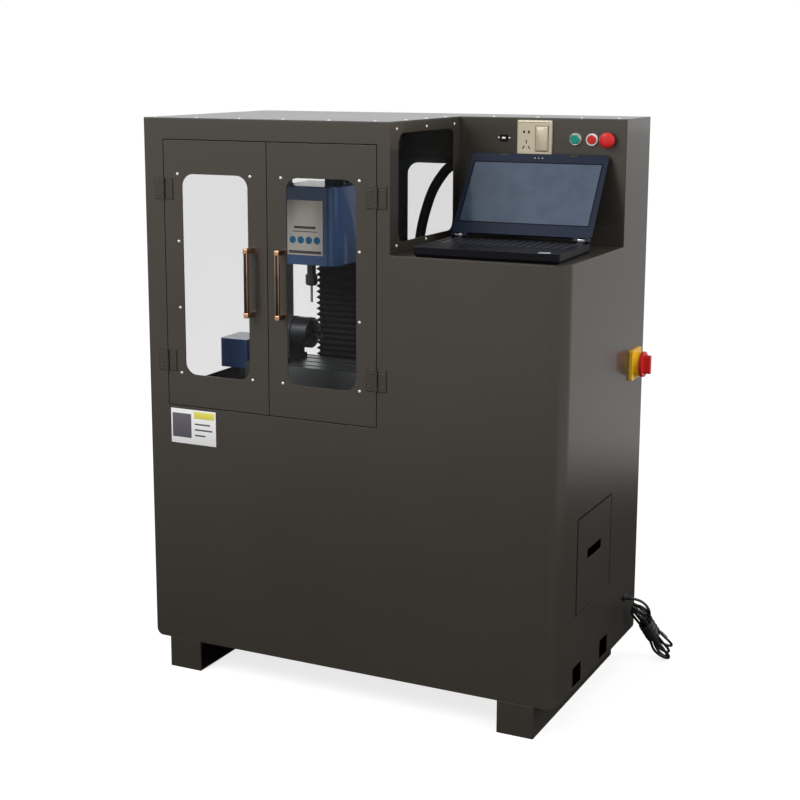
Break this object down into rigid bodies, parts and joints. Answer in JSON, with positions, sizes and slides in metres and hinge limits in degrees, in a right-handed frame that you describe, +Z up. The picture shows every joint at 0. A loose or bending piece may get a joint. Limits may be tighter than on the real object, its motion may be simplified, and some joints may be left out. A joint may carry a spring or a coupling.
{
  "type": "mini cnc milling machine",
  "caption": "Floor-standing training mill in a sheet-metal cabinet with a glazed two-door chamber, a stepped shelf with a laptop, and a panel of push buttons.",
  "frame": {"origin": "centre of the footprint, isolator and handles included and mains lead left out, on the floor", "axes": "+Z up, -Y towards the operator at the doors, +X to the operator's right"},
  "size_m": [1.172, 0.6515, 1.373],
  "materials": {
    "cabinet_paint": "semi-gloss bronze grey",
    "blue_paint": "blue hammer finish",
    "steel": "ground",
    "cast_iron": "machined",
    "clear_pane": "clear sheet",
    "rose_brass": "polished",
    "hinge_bronze": "bronzed",
    "white_plastic": "glossy",
    "yellow_plastic": "glossy",
    "red_plastic": "glossy",
    "green_plastic": "glossy",
    "black_plastic": "fine grain",
    "motor_black": "satin",
    "screen": "glossy",
    "rubber": "matt"
  },
  "bodies": {
    "cabinet": {"front_panel": "cabinet_paint", "left_side_panel": "cabinet_paint", "right_side_panel": "cabinet_paint", "floor_pan": "cabinet_paint", "rear_panel": "cabinet_paint", "roof_plate": "cabinet_paint", "chamber_partition": "cabinet_paint", "laptop_shelf": "cabinet_paint", "control_panel": "cabinet_paint", "chip_tray": "cabinet_paint", "runners": "cabinet_paint", "cabinet_panes": "clear_pane", "hinge_frame_leaves": "hinge_bronze", "socket_plate": "white_plastic", "data_port": "black_plastic", "button_bezels": "white_plastic", "isolator_base": "yellow_plastic", "base_casting": "cast_iron", "y_motor": "motor_black", "column": "cast_iron", "z_motor": "motor_black", "z_bellows": "rubber", "laptop_base": "black_plastic", "mill_stand": "cabinet_paint", "wiring_conduit": "black_plastic", "cord_gland": "black_plastic", "mains_cord": "rubber", "cord_hank": "rubber"},
    "left_door": {"left_door_panel": "cabinet_paint", "left_door_pane": "clear_pane", "left_door_handle": "rose_brass", "left_door_hinge_leaves": "hinge_bronze"},
    "right_door": {"right_door_panel": "cabinet_paint", "right_door_pane": "clear_pane", "right_door_handle": "rose_brass", "right_door_hinge_leaves": "hinge_bronze"},
    "access_cover": {"access_cover": "cabinet_paint"},
    "isolator_knob": {"isolator_knob": "red_plastic"},
    "green_button": {"green_button": "green_plastic"},
    "red_button": {"red_button": "red_plastic"},
    "stop_button": {"stop_button": "red_plastic"},
    "socket_rocker": {"socket_rocker": "white_plastic"},
    "laptop_lid": {"laptop_lid": "black_plastic", "laptop_screen": "screen"},
    "saddle": {"saddle": "cast_iron"},
    "table": {"table": "cast_iron", "x_motor_cover": "blue_paint", "rotary_housing": "cast_iron"},
    "x_screw": {"x_screw": "steel"},
    "y_screw": {"y_screw": "steel"},
    "z_screw": {"z_screw": "steel"},
    "head": {"head_casting": "cast_iron", "head_cover": "blue_paint", "spindle_motor": "motor_black"},
    "spindle": {"spindle": "steel", "end_mill": "steel"},
    "chuck": {"chuck_body": "steel"},
    "chuck_jaw_1": {"chuck_jaw_1": "steel"},
    "chuck_jaw_2": {"chuck_jaw_2": "steel"},
    "chuck_jaw_3": {"chuck_jaw_3": "steel"}
  },
  "joints": [
    {"name": "left_door_swing", "type": "hinge", "parent": "cabinet", "child": "left_door", "pos_m": [-0.503, -0.2723, 1], "axis": [0, 0, -1], "range_deg": [0, 150]},
    {"name": "right_door_swing", "type": "hinge", "parent": "cabinet", "child": "right_door", "pos_m": [0.063, -0.2723, 1], "axis": [0, 0, 1], "range_deg": [0, 150]},
    {"name": "access_cover_lift_off", "type": "slide", "parent": "cabinet", "child": "access_cover", "axis": [1, 0, 0], "range_m": [0, 0.15]},
    {"name": "isolator_turn", "type": "hinge", "parent": "cabinet", "child": "isolator_knob", "pos_m": [0.514, 0.228, 0.783], "axis": [1, 0, 0], "range_deg": [0, 90]},
    {"name": "green_button_press", "type": "slide", "parent": "cabinet", "child": "green_button", "axis": [0, 1, 0], "range_m": [0, 0.003], "stiffness_N_per_m": 400},
    {"name": "red_button_press", "type": "slide", "parent": "cabinet", "child": "red_button", "axis": [0, 1, 0], "range_m": [0, 0.003], "stiffness_N_per_m": 400},
    {"name": "stop_button_press", "type": "slide", "parent": "cabinet", "child": "stop_button", "axis": [0, 1, 0], "range_m": [0, 0.005]},
    {"name": "socket_rocker_tilt", "type": "hinge", "parent": "cabinet", "child": "socket_rocker", "pos_m": [0.29, 0.115, 1.324], "axis": [1, 0, 0], "range_deg": [-4, 4]},
    {"name": "laptop_lid_fold", "type": "hinge", "parent": "cabinet", "child": "laptop_lid", "pos_m": [0.31214, -0.0322, 1.1044], "axis": [0.9995, 0.0332, 0], "range_deg": [0, 127]},
    {"name": "y_travel", "type": "slide", "parent": "cabinet", "child": "saddle", "axis": [0, 1, 0], "range_m": [-0.08, 0.05]},
    {"name": "x_travel", "type": "slide", "parent": "saddle", "child": "table", "axis": [1, 0, 0], "range_m": [-0.065, 0.08]},
    {"name": "z_travel", "type": "slide", "parent": "cabinet", "child": "head", "axis": [0, 0, 1], "range_m": [-0.03, 0.09], "deforming": ["z_bellows"]},
    {"name": "x_screw_turn", "type": "hinge", "parent": "table", "child": "x_screw", "pos_m": [-0.236, -0.027, 0.7083], "axis": [1, 0, 0], "continuous": true},
    {"name": "y_screw_turn", "type": "hinge", "parent": "cabinet", "child": "y_screw", "pos_m": [-0.236, 0, 0.674], "axis": [0, 1, 0], "continuous": true},
    {"name": "z_screw_turn", "type": "hinge", "parent": "cabinet", "child": "z_screw", "pos_m": [-0.236, 0.154, 1], "axis": [0, 0, 1], "continuous": true},
    {"name": "spindle_turn", "type": "hinge", "parent": "head", "child": "spindle", "pos_m": [-0.236, -0.027, 1], "axis": [0, 0, 1], "continuous": true},
    {"name": "chuck_turn", "type": "hinge", "parent": "table", "child": "chuck", "pos_m": [-0.25, -0.027, 0.8396], "axis": [1, 0, 0], "continuous": true},
    {"name": "chuck_jaw_1_slide", "type": "slide", "parent": "chuck", "child": "chuck_jaw_1", "axis": [0, 0, 1], "range_m": [-0.004, 0.003]},
    {"name": "chuck_jaw_2_slide", "type": "slide", "parent": "chuck", "child": "chuck_jaw_2", "axis": [0, -0.866, -0.5], "range_m": [-0.004, 0.003]},
    {"name": "chuck_jaw_3_slide", "type": "slide", "parent": "chuck", "child": "chuck_jaw_3", "axis": [0, 0.866, -0.5], "range_m": [-0.004, 0.003]}
  ],
  "couplings": [
    {"joint": "x_screw_turn", "follows": "x_travel", "rad_per_m": 1256.6},
    {"joint": "y_screw_turn", "follows": "y_travel", "rad_per_m": 1256.6},
    {"joint": "z_screw_turn", "follows": "z_travel", "rad_per_m": 1256.6},
    {"joint": "chuck_jaw_2_slide", "follows": "chuck_jaw_1_slide", "ratio": 1},
    {"joint": "chuck_jaw_3_slide", "follows": "chuck_jaw_1_slide", "ratio": 1}
  ]
}
